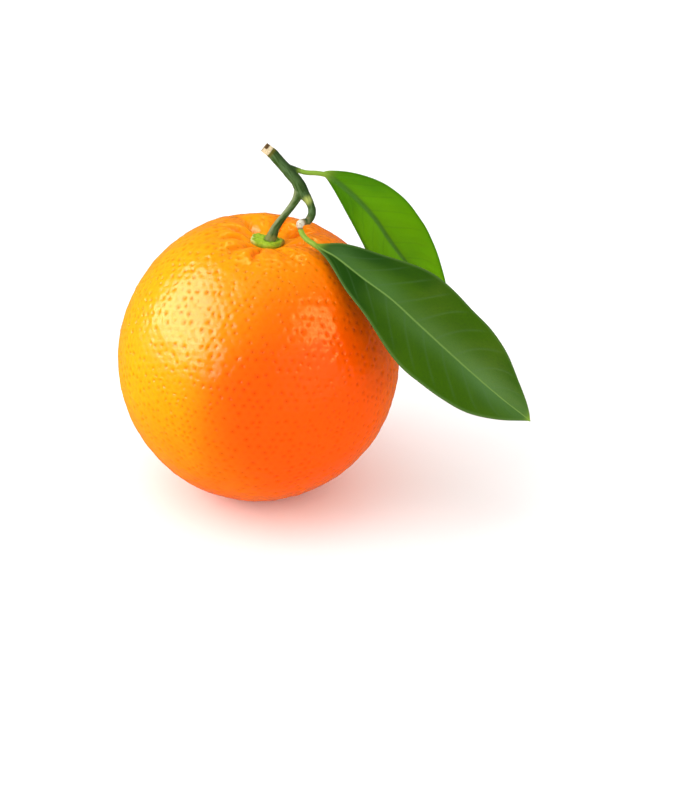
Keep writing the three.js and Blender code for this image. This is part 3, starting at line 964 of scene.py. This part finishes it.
@dataclass
class Twig:
    """The stalk, the cut twig with its side shoot, the leaf cushion and the scar knob, grown as one."""

    stalk: Branch = Branch(
        points=(
            (4.25, 0.0, 77.4), (4.6, 0.05, 78.5), (5.6, 0.3, 80.9), (7.8, 0.5, 84.1), (10.2, 0.9, 87.1),
            (11.5, 1.1, 89.2), (12.3, 1.3, 91.1), (12.4, 1.5, 92.4),
        ),
        radii=(1.9, 1.5, 1.2, 0.98, 0.98, 1.15, 1.5, 1.4),
    )
    twig: Branch = Branch(
        points=(
            (2.8, 4.0, 103.1), (5.1, 3.6, 101.3), (6.8, 3.2, 99.4), (8.4, 2.8, 97.7), (9.8, 2.4, 96.1),
            (11.4, 1.9, 94.4), (12.5, 1.5, 92.6), (13.3, 1.2, 91.0), (14.7, 0.6, 89.1), (15.5, 0.0, 87.5),
            (15.8, -0.7, 86.3), (15.6, -1.4, 85.3), (14.9, -2.1, 84.3), (14.4, -2.7, 83.6),
        ),
        radii=(1.48, 1.48, 1.5, 1.52, 1.58, 1.6, 1.75, 1.65, 1.22, 1.05, 1.08, 1.12, 1.08, 0.9),
    )
    knob: Branch = Branch(
        points=(
            (14.7, -2.3, 83.9), (13.4, -3.0, 84.1), (12.5, -3.5, 83.8), (12.6, -4.0, 82.7),
            (12.75, -4.3, 82.2),
        ),
        radii=(0.8, 1.0, 1.0, 0.75, 0.66),
    )
    cushion: Branch = Branch(
        points=((9.3, 2.7, 97.5), (10.8, 3.0, 97.0), (12.3, 3.4, 96.5), (12.8, 3.5, 96.3)),
        radii=(1.1, 0.88, 0.66, 0.6),
    )
    sides: int = 40
    rings: int = 90
    voxel: float = 0.12
    smoothings: int = 14
    ridge_height: float = 0.07
    grit_height: float = 0.05
    crack_height: float = 0.30
    fissure_depth: float = 0.14
    ring_height: float = 0.05
    strand_stations: int = 70
    strand_pitch: float = 0.18
    strand_shift: float = 20.0
    cut_length: float = 2.3
    cut_ease: float = 0.6
    cut_step: float = 0.10
    cut_face: Range = (0.35, 0.0)
    cut_rim: Range = (0.75, 1.15)
    cut_heart: Range = (0.55, 0.3)
    cut_edge: float = 0.35
    burn_above: Range = (-0.1, 0.9)
    burn_along: Range = (1.6, 0.7)
    foot_zone: Range = (3.8, 1.2)
    foot_rings: Range = (3.0, 1.0)
    sprout_zone: Range = (2.3, 0.5)
    node: Point = (14.6, -0.6, 89.4)
    node_reach: float = 1.9
    node_share: float = 0.78
    scar_zone: Range = (1.75, 1.1)
    scar_collar: Range = (1.5, 0.28)
    worn_ring: Range = (2.4, 0.7)
    # directions toward the key light and away from it, for the painted lit side and shade side
    lit_side: Point = (-0.9, -0.25, 0.35)
    dark_side: Point = (0.86, -0.05, 0.5)

    def __post_init__(self) -> None:
        """Lists the branches in the order of their numbers."""
        self.branches = (self.stalk, self.twig, self.knob, self.cushion)

    def fuse(self) -> bpy.types.Object:
        """Joins the branches into one even, smoothed skin."""
        points = np.empty((0, 3))
        faces: list[list[int]] = []
        for branch in self.branches:
            more, quads = branch.tube(self.sides, self.rings)
            faces += [[v + len(points) for v in quad] for quad in quads]
            points = np.vstack([points, more])
        rough = make_piece("twig_rough", points, faces)
        remesh = rough.modifiers.new("one skin", "REMESH")
        remesh.mode = "VOXEL"
        remesh.voxel_size = self.voxel * MM
        smooth = rough.modifiers.new("ease the forks", "SMOOTH")
        smooth.iterations = self.smoothings
        smooth.factor = 0.5
        bpy.context.view_layer.update()
        ready = rough.evaluated_get(bpy.context.evaluated_depsgraph_get())
        mesh = bpy.data.meshes.new_from_object(ready)
        bpy.data.objects.remove(rough)
        mesh.shade_smooth()
        piece = bpy.data.objects.new("green_twig", mesh)
        bpy.context.scene.collection.objects.link(piece)
        return piece

    def strands(self, places: np.ndarray) -> tuple[np.ndarray, np.ndarray]:
        """Where each place lies along its nearest branch.

        Args:
            places: places in millimetres.

        Returns:
            Coordinates for fibres that run along the branch, and the nearest branch's number.
        """
        best = np.full(len(places), np.inf)
        coords = np.zeros((len(places), 3))
        owner = np.zeros(len(places), int)
        for number, branch in enumerate(self.branches):
            middle, forward, radius, run = branch.stations(self.strand_stations)
            away = np.linalg.norm(places[:, None] - middle[None], axis=2) - radius[None]
            index = away.argmin(axis=1)
            nearest = away[np.arange(len(places)), index]
            axis = forward[index]
            fibre = places - middle[index]
            fibre = fibre - (fibre * axis).sum(axis=1, keepdims=True) * axis
            fibre[:, 2] += run[index] * self.strand_pitch + number * self.strand_shift
            closer = nearest < best
            best = np.where(closer, nearest, best)
            coords[closer] = fibre[closer]
            owner[closer] = number
        return coords, owner

    def build(self) -> bpy.types.Object:
        """Makes the twig's mesh, roughens its bark and paints its marks, with painted light and shade on
        its sides.
        """
        piece = self.fuse()
        places = rows_of(piece.data.vertices, "co") / MM
        normals = rows_of(piece.data.vertex_normals, "vector")
        coords, owner = self.strands(places)
        on_stalk = owner == self.branches.index(self.stalk)
        on_twig = owner == self.branches.index(self.twig)
        start = np.array(self.twig.points[0])
        axis = unit(np.array(self.twig.points[1]) - start)
        upright = unit(np.cross(axis, np.cross([0.0, 0.0, 1.0], axis)))
        from_cut = (places - start) @ axis
        above_cut = (places - start) @ upright
        across = np.linalg.norm(places - start - from_cut[:, None] * axis, axis=1)
        near_cut = distance_to(start, places) < 2.5 * self.cut_length
        cut = smoothstep(self.cut_length + self.cut_ease, self.cut_length - self.cut_ease, from_cut)
        cut = cut * near_cut
        face = smoothstep(*self.cut_face, from_cut) * near_cut
        rim = smoothstep(*self.cut_rim, across) * face
        heart = 0.75 * face + smoothstep(*self.cut_heart, across) * face
        foot_at = distance_to(self.stalk.points[0], places)
        scar_at = distance_to(self.knob.points[2], places)
        shoot_at = np.minimum(
            distance_to(self.cushion.points[-1], places), distance_to(self.knob.points[-1], places) + 0.6,
        )
        near_knob = (owner == self.branches.index(self.knob)) | (scar_at < 2.0)
        scar = smoothstep(*self.scar_zone, scar_at) * near_knob
        ridges = self.ridge_height * noise_at(coords, 0.55, 3.0)
        ridges = ridges + self.grit_height * noise_at(places, 1.2, 8.0)
        fissures = self.fissure_depth * np.abs(noise_at(places, 0.45, 4.0))
        cracks = (self.crack_height * noise_at(places, 0.9, 4.0) - fissures) * scar
        rings = self.ring_height * np.cos(coords[:, 2] * 9.0) * smoothstep(*self.foot_rings, foot_at)
        height = ridges * (1 - 0.6 * cut) + cracks + rings - self.cut_step * cut
        move_to(piece, places + normals * height[:, None])

        crackle = 0.55 + 0.6 * noise_at(places, 0.5, 6.0)
        collar = bell(scar_at, *self.scar_collar) * near_knob
        worn = bell(scar_at, *self.worn_ring) * on_twig * crackle
        # browner on the upper side near the cut
        burn = smoothstep(*self.burn_above, above_cut) * smoothstep(*self.burn_along, from_cut)
        # painted light and shade: how far each place faces toward and away from the key light
        lit = np.clip(normals @ unit(self.lit_side), 0, 1)
        dark = np.clip(normals @ unit(self.dark_side), 0, 1)
        paint(
            piece,
            strand=coords,
            cut=cut,
            pith=np.clip(rim * 0.7 + heart, 0, 1),
            scar=scar,
            node=self.node_share * bell(distance_to(self.node, places), 0.0, self.node_reach) * on_twig,
            foot=smoothstep(*self.foot_zone, foot_at),
            sprout=smoothstep(*self.sprout_zone, shoot_at),
            edge=bell(from_cut, self.cut_length + self.cut_edge, 0.5) * near_cut,
            burn=burn * near_cut,
            # painted light on the lit side and painted shade on the far side
            near_side=lit * np.where(on_stalk, 0.85, 0.3) * (1 - cut),
            far_side=dark * (1 - scar) * (1 - cut),
            ring=np.clip(collar + worn, 0, 1),
        )
        return piece

    def make(self) -> None:
        """Builds, dresses and hands over the twig."""
        hand_over(self.build(), "twig", BarkFinish().make())


# The leaves


@dataclass(frozen=True)
class LeafFinish:
    """A leaf's skin: its blade, ribs, veins and margin, with painted shade at its foot and along one side,
    a painted sheen by its rib, and light let through.
    """

    name: str
    blade: Colour
    shade: Colour
    # colour of the painted sheen along the rib
    bloom: Colour
    rib: Colour
    vein: Colour
    margin: Colour
    stalk: Colour
    through: Colour
    roughness: float
    let_through: float
    vein_share: float
    bloom_share: float
    cell_share: float = 0.22
    margin_share: float = 0.85
    roughness_spread: float = 0.18
    bump_depth: float = 0.10
    bump_strength: float = 0.6

    def make(self) -> bpy.types.Material:
        """Builds the material."""
        shader = Shader(self.name)
        place = shader.place()
        patch = shader.grain(place, 9.0)
        cells = shader.grain(place, 0.55)
        fine = shader.grain(place, 0.2, 2.0)
        vein = shader.painted("vein")
        rib = shader.painted("rib")
        stalk = shader.painted("stalk")
        colour = shader.coated(
            self.blade,
            # painted shade at the foot and along one side, with random darker patches
            ((patch * 0.7 + shader.painted("dim")).step(0.25, 1.15), self.shade),
            # painted sheen: a reflection painted along the rib
            (shader.painted("bloom") * self.bloom_share * (0.6 + cells * 0.8), self.bloom),
            (cells.step(0.45, 0.75) * self.cell_share, self.shade),
            (shader.painted("edge").step(0.2, 1.0) * self.margin_share, self.margin),
            (vein * self.vein_share, self.vein),
            (rib, self.rib),
            (stalk, self.stalk),
        )
        rough = self.roughness + (cells - 0.5) * self.roughness_spread + rib * 0.08
        normal = shader.bump(cells * 0.5 + fine * 0.3 - vein * 0.4, self.bump_depth, self.bump_strength)
        skin = shader.principled(Base_Color=colour, Roughness=rough, Normal=normal, Specular_IOR_Level=0.04)
        glow = shader.node("ShaderNodeBsdfTranslucent", {}, {"Color": self.through})
        thin = self.let_through * (1 - stalk) * (1 - rib * 0.8) * (1 - vein * 0.3)
        return shader.finish(shader.blend(thin, skin, glow))


LIGHT_LEAF = LeafFinish(
    name="leaf_lit_through",
    blade=(0.145, 0.345, 0.001),
    shade=(0.060, 0.190, 0.003),
    bloom=(0.12, 0.33, 0.015),
    rib=(0.066, 0.195, 0.018),
    vein=(0.070, 0.230, 0.006),
    margin=(0.030, 0.120, 0.002),
    stalk=(0.22, 0.36, 0.04),
    through=(0.41, 0.78, 0.0),
    roughness=0.42,
    let_through=0.38,
    vein_share=0.12,
    bloom_share=0.5,
)
DARK_LEAF = LeafFinish(
    name="leaf_dark_gloss",
    blade=(0.042, 0.115, 0.001),
    shade=(0.014, 0.062, 0.003),
    bloom=(0.090, 0.200, 0.052),
    rib=(0.15, 0.27, 0.055),
    vein=(0.075, 0.155, 0.055),
    margin=(0.075, 0.155, 0.030),
    stalk=(0.22, 0.36, 0.035),
    through=(0.10, 0.30, 0.01),
    roughness=0.36,
    let_through=0.10,
    vein_share=0.24,
    bloom_share=0.8,
)


@dataclass(frozen=True)
class Side:
    """One side of a blade: its widest reach, and the powers with which it widens and narrows."""

    reach: float
    rise: float
    fall: float

    def width(self, share: np.ndarray) -> np.ndarray:
        """Half-width at shares of the blade's length."""
        inside = np.clip(share, 1e-6, 1 - 1e-6)
        peak = self.rise / (self.rise + self.fall)
        widest = peak**self.rise * (1 - peak) ** self.fall
        shape = inside**self.rise * (1 - inside) ** self.fall / widest
        return np.where((share > 0) & (share < 1), self.reach * shape, 0.0)


@dataclass
class Leaf:
    """A leaf on its stalk: one skin from the round stalk to the thin, veined and waved blade."""

    node: str
    slot: Slot
    finish: LeafFinish
    midrib: tuple[Point, ...]
    blade_from: float
    across_base: Point
    across_tip: Point
    first_side: Side
    second_side: Side
    stalk_radius: float
    fold: float
    wave: float
    waves: float
    veins: float
    quilt: float
    groove: float
    bloom_reach: float
    rib_width: float = 0.55
    thickness: float = 0.44
    margin: float = 0.22
    root: float = 0.45
    rib_groove: float = 1.3
    vein_run: float = 75.0
    vein_slant: float = 0.16
    vein_width: float = 0.36
    vein_start: Range = (0.03, 0.10)
    vein_end: Range = (0.99, 0.9)
    vein_out: Range = (0.97, 0.7)
    vein_depth: float = 0.07
    curl: float = 0.35
    curl_grain: float = 14.0
    flattening: Range = (0.05, 1.6)
    stalk_fading: Range = (0.05, 4.2)
    margin_reach: float = 1.6
    columns: int = 34
    stations: int = 300

    def widths(self, share: np.ndarray, radius: np.ndarray, side: Side, seed: float) -> np.ndarray:
        """Half-width of one side along the leaf, never less than the stalk's radius."""
        blade = side.width((share - self.blade_from) / (1 - self.blade_from))
        ragged = 1 + 0.003 * np.sin(share * 47 + seed)
        return np.maximum(blade * ragged, radius)

    def relief(self, t: np.ndarray, s: np.ndarray, turn: float) -> tuple[np.ndarray, np.ndarray]:
        """Side veins over a blade.

        Args:
            t: share of the blade's length.
            s: share of the half-width, from 0 at the rib.
            turn: where on the rib this side's veins start, as a share of their spacing.

        Returns:
            The quilting between veins, from -1 at a vein to 1, and a mask that is 1 on a vein.
        """
        wander = 0.05 * np.sin(9 * t + 4 * s + 5 * turn)
        phase = (t - self.vein_slant * s**1.25) * self.veins + turn + wander
        off = np.abs(phase - np.round(phase))
        present = smoothstep(*self.vein_start, t) * smoothstep(*self.vein_end, t)
        present = present * smoothstep(*self.vein_out, s)
        quilt = -np.cos(2 * math.pi * phase) * present * np.sin(math.pi * np.clip(s, 0, 1)) ** 0.6
        mask = bell(off * (self.vein_run / self.veins), 0.0, self.vein_width) * present
        return quilt, mask

    def columns_over(self, wide: np.ndarray, sign: np.ndarray, k: np.ndarray) -> np.ndarray:
        """Where the vertices of each section lie across the leaf.

        Args:
            wide: the half-width on each vertex's side.
            sign: 1 for the first side's columns and -1 for the second side's.
            k: how flat each section is, from 0 for the round stalk to 1 for the blade.

        Returns:
            Places across the leaf in millimetres, one section a row.
        """
        count = len(sign)
        even = np.linspace(-1, 1, count - 4)
        eased = np.sign(even) * np.abs(even) ** 1.25
        round_x = np.sin(np.linspace(-math.pi / 2, math.pi / 2, count))
        rim = np.minimum(self.margin, 0.5 * wide)
        inner = np.concatenate([[-1, -1], eased, [1, 1]])
        edge_share = np.zeros(count)
        edge_share[[0, -1]] = 1.0
        edge_share[[1, -2]] = 0.65
        blade_x = inner[None, :] * (wide - rim) + sign[None, :] * edge_share[None, :] * rim
        return (1 - k) * round_x[None, :] * wide + k * blade_x

    def build(self) -> bpy.types.Object:
        """Makes the leaf's mesh as a run of sections, and paints its ribs, veins and margin."""
        line = CentreLine(list(self.midrib))
        share = np.linspace(-self.root / line.length, 1.0, self.stations)
        middle = line.at(share)[:, None]
        forward = line.tangent(np.clip(share, 0, 1))
        t = np.clip((share - self.blade_from) / (1 - self.blade_from), 0, 1)[:, None]
        across = (1 - t) * np.array(self.across_base) + t * np.array(self.across_tip)
        across = unit(across - (across * forward).sum(axis=1, keepdims=True) * forward)
        up = np.cross(forward, across)[:, None]
        across = across[:, None]
        radius = np.interp(share, (0, 0.1, 0.5, 0.94, 1.0), (1.0, 1.0, 0.72, 0.36, 0.2)) * self.stalk_radius
        first = self.widths(share, radius, self.first_side, 0.3)
        second = self.widths(share, radius, self.second_side, 1.9)
        spare = np.maximum(first, second) - radius
        radius = radius[:, None]
        k = smoothstep(*self.flattening, spare)[:, None]

        count = 2 * self.columns + 5
        sign = np.where(np.arange(count) < count // 2, -1, 1)
        wide = np.where(sign > 0, first[:, None], second[:, None])
        rim = np.minimum(self.margin, 0.5 * wide)
        x = self.columns_over(wide, sign, k)
        s = np.clip(np.abs(x) / wide, 0, 1)
        rounding = np.sqrt(np.clip(1 - (np.clip(np.abs(x) - (wide - rim), 0, None) / rim) ** 2, 0, 1))
        stalk = np.sqrt(np.clip(radius**2 - x**2, 0, None))
        top = (1 - k) * stalk + k * (self.thickness / 2 * rounding)
        under = np.maximum(top, 0.92 * stalk)
        quilt = np.zeros_like(x)
        vein = np.zeros_like(x)
        for side, turn in ((1, 0.0), (-1, 0.5)):
            here = sign == side
            quilt[:, here], vein[:, here] = self.relief(t, s[:, here], turn)
        rib_width = self.rib_width * np.interp(share, (0, 1), (1.15, 0.5))
        rib = np.exp(-((np.abs(x) / rib_width[:, None]) ** 4)) * k
        top = top - k * (0.03 * vein + self.groove * bell(x, 0.0, self.rib_groove))
        under = under + k * self.vein_depth * vein

        sides = (self.first_side, self.second_side)
        shape = np.where(sign > 0, *(side.width(t) / side.reach for side in sides))
        phase = 2 * math.pi * self.waves * t + np.where(sign > 0, 0, 2)
        soft = noise_at((middle + across * x[:, :, None]).reshape(-1, 3), self.curl_grain, 2.0)
        soft = soft.reshape(x.shape)
        lift = np.abs(x) * math.sin(math.radians(self.fold)) * (1 - 0.35 * s)
        lift = lift + self.wave * s**2 * np.sin(phase) * shape + self.quilt * quilt
        lift = (lift + self.curl * soft * s) * k
        drawn_in = x * (1 - k * (1 - math.cos(math.radians(self.fold))))
        centre = middle + across * drawn_in[:, :, None]
        upper = centre + up * (lift + top)[:, :, None]
        lower = centre + up * (lift - under)[:, :, None]
        rings = np.concatenate([upper, lower[:, 1:-1][:, ::-1]], axis=1)
        faces = ring_faces(self.stations, rings.shape[1])
        piece = make_piece(self.node + "_blade", rings.reshape(-1, 3), faces)

        # painted shade: darker near the foot, more on one side
        early = smoothstep(0.5, 0.05, t) * (sign < 0) + smoothstep(0.28, 0.0, t)
        early = early + 0.7 * smoothstep(0.6, 0.1, t) * (sign > 0) * smoothstep(0.3, 0.8, s)
        # painted sheen along the rib, from a little way up the blade
        late = np.where(sign > 0, smoothstep(0.02, 0.12, t), smoothstep(0.2, 0.42, t))
        layers = {
            "vein": vein * k,
            "rib": rib,
            "edge": smoothstep(self.margin_reach, 0.0, wide - np.abs(x)) * k,
            "stalk": (1 - smoothstep(*self.stalk_fading, spare))[:, None] ** 2 * np.ones_like(x),
            "bloom": bell(np.abs(x), 0.0, self.bloom_reach) * k * late * (0.75 + 0.5 * soft),
            "dim": np.clip(early + 0.35 * soft, 0, 1),
        }
        for name, values in layers.items():
            both = np.concatenate([values, values[:, 1:-1][:, ::-1]], axis=1)
            paint(piece, **{name: both.ravel()})
        return piece

    def make(self) -> None:
        """Builds, dresses and hands over the leaf."""
        hand_over(self.build(), self.node, self.finish.make())


def back_leaf() -> Leaf:
    """The bright leaf behind, lit through, which hangs from the twig's cushion."""
    return Leaf(
        node="leaf_back", slot=Slot.LEAF_LIGHT, finish=LIGHT_LEAF,
        midrib=(
            (12.8, 3.5, 96.2), (13.9, 3.8, 95.8), (15.2, 4.2, 95.5), (16.8, 4.8, 95.2),
            (19.4, 6.0, 94.2), (22.2, 7.4, 91.8), (27.8, 10.4, 85.6), (33.1, 13.6, 78.1),
            (37.6, 16.6, 69.9), (44.2, 20.0, 59.1), (50.4, 22.5, 49.8), (57.0, 24.5, 41.5),
        ),
        blade_from=0.075, across_base=(0.62, 0.35, 0.7), across_tip=(0.8, 0.1, 0.45),
        first_side=Side(10.9, 0.95, 1.05), second_side=Side(7.8, 1.1, 1.05),
        stalk_radius=0.66, fold=14, wave=0.5, waves=2.5, veins=10, quilt=0.10, groove=0.22,
        bloom_reach=5.0, rib_width=0.8,
    )


def front_leaf() -> Leaf:
    """The dark glossy leaf in front, which hangs from the scar knob."""
    return Leaf(
        node="leaf_front", slot=Slot.LEAF_DARK, finish=DARK_LEAF,
        midrib=(
            (12.8, -4.4, 82.0), (13.3, -5.2, 81.2), (14.4, -6.4, 80.4), (16.2, -8.0, 79.8),
            (18.1, -9.4, 78.9), (21.9, -11.4, 77.5), (29.4, -15.0, 72.8), (37.0, -18.4, 68.2),
            (43.8, -20.9, 62.5), (50.4, -22.6, 56.6), (58.6, -24.6, 49.4), (67.0, -26.2, 42.2),
            (75.4, -27.4, 35.6),
        ),
        blade_from=0.06, across_base=(0.5, 0.84, 0.2), across_tip=(0.55, 0.8, 0.3),
        first_side=Side(16.3, 0.94, 0.82), second_side=Side(15.8, 1.4, 1.1),
        stalk_radius=0.74, fold=9, wave=0.6, waves=3, veins=11, quilt=0.03, groove=-0.02,
        bloom_reach=4.6, rib_width=0.30,
    )


# The studio


WHITE = (1.0, 0.985, 0.96)
ROSY = (1.0, 0.93, 0.78)
AMBER = (1.0, 0.9, 0.24)


@dataclass(frozen=True)
class Lamp:
    """A soft square light turned to the fruit: its direction, distance and side in mm, power and colour."""

    name: str
    toward: Point
    distance: float
    side: float
    watts: float
    colour: Colour
    gloss_only: bool = False

    def hang(self, aim: Point) -> None:
        """Adds the light; one for gloss only shows as a sheen, and lights nothing else."""
        lamp = bpy.data.lights.new(self.name, "AREA")
        lamp.size = self.side * MM
        lamp.energy = self.watts
        lamp.color = self.colour
        holder = bpy.data.objects.new(self.name, lamp)
        direction = Vector(self.toward).normalized()
        holder.location = (Vector(aim) + direction * self.distance) * MM
        holder.rotation_euler = direction.to_track_quat("Z", "Y").to_euler()
        holder.visible_diffuse = not self.gloss_only
        holder.visible_transmission = not self.gloss_only
        bpy.context.scene.collection.objects.link(holder)


@dataclass
class Studio:
    """A white floor, a white surround, soft lights with sheens, and the photograph's camera."""

    focal_pixels: float = 1603.0
    image_long_side: float = 800.0
    sensor: float = 36.0
    eye: Point = (26.1, -406.4, 256.7)
    pitch: float = -29.5
    floor_radius: float = 2500.0
    floor_sides: int = 96
    reflected_share: float = 0.18
    aim: Point = (10.0, 0.0, 45.0)
    lamps: tuple[Lamp, ...] = (
        Lamp("key", (-0.88, -0.20, 0.41), 420, 420, 1.3, WHITE),
        Lamp("key sheen", (-0.79, -0.14, 0.59), 420, 380, 8.8, ROSY, gloss_only=True),
        Lamp("front sheen", (-0.66, -0.62, 0.38), 420, 190, 1.7, ROSY, gloss_only=True),
        Lamp("fill sheen", (0.733, -0.413, 0.537), 600, 260, 4.0, AMBER, gloss_only=True),
        Lamp("top", (-0.15, -0.20, 0.97), 500, 260, 0.35, WHITE),
        Lamp("rim sheen", (0.06, 0.52, 0.85), 500, 120, 1.0, AMBER, gloss_only=True),
        Lamp("fill", (0.70, -0.65, 0.15), 600, 500, 0.7, WHITE),
    )

    def camera(self) -> None:
        """Sets the camera at the photograph's place, level and looking down along +Y."""
        lens = bpy.data.cameras.new("camera")
        lens.sensor_width = self.sensor
        lens.lens = self.focal_pixels / self.image_long_side * self.sensor
        lens.clip_start = 0.01
        camera = bpy.data.objects.new("camera", lens)
        camera.location = Vector(self.eye) * MM
        camera.rotation_euler = (math.radians(90 + self.pitch), 0, 0)
        bpy.context.scene.collection.objects.link(camera)
        bpy.context.scene.camera = camera

    def floor(self) -> None:
        """Lays the dull white floor that the fruit stands on."""
        turn = np.linspace(0, 2 * math.pi, self.floor_sides, endpoint=False)
        ring = np.stack([np.cos(turn), np.sin(turn), np.zeros_like(turn)], axis=1) * self.floor_radius
        piece = make_piece("floor", ring, [list(range(self.floor_sides))])
        shader = Shader("white_floor")
        white = shader.principled(Base_Color=(1.0, 1.0, 1.0), Roughness=0.9, Specular_IOR_Level=0.0)
        piece.data.materials.append(shader.finish(white))
        piece.visible_glossy = False

    def surround(self) -> None:
        """Gives the world a white light, dimmer in reflections, so that colours stay deep."""
        world = bpy.data.worlds.new("surround")
        bpy.context.scene.world = world
        world.use_nodes = True
        tree = world.node_tree
        background = tree.nodes["Background"]
        background.inputs["Color"].default_value = (1.0, 1.0, 1.0, 1.0)
        path = tree.nodes.new("ShaderNodeLightPath")
        strength = tree.nodes.new("ShaderNodeMapRange")
        strength.inputs["To Min"].default_value = 1.0
        strength.inputs["To Max"].default_value = self.reflected_share
        tree.links.new(path.outputs["Is Glossy Ray"], strength.inputs["Value"])
        tree.links.new(strength.outputs["Result"], background.inputs["Strength"])

    def make(self) -> None:
        """Sets up the whole studio."""
        self.camera()
        self.floor()
        self.surround()
        for lamp in self.lamps:
            lamp.hang(self.aim)
        bpy.context.scene.view_settings.view_transform = "Standard"
        log.info("studio: camera, floor, surround and lights")



def main() -> None:
    """Builds the camera and lights, then each sub-assembly in turn."""
    Studio().make()
    fruit = Fruit()
    fruit.make()
    Calyx(fruit).make()
    Twig().make()
    for leaf in (back_leaf(), front_leaf()):
        leaf.make()


if __name__ == "__main__":
    logging.basicConfig(level=logging.INFO, format="%(name)s: %(message)s")
    main()
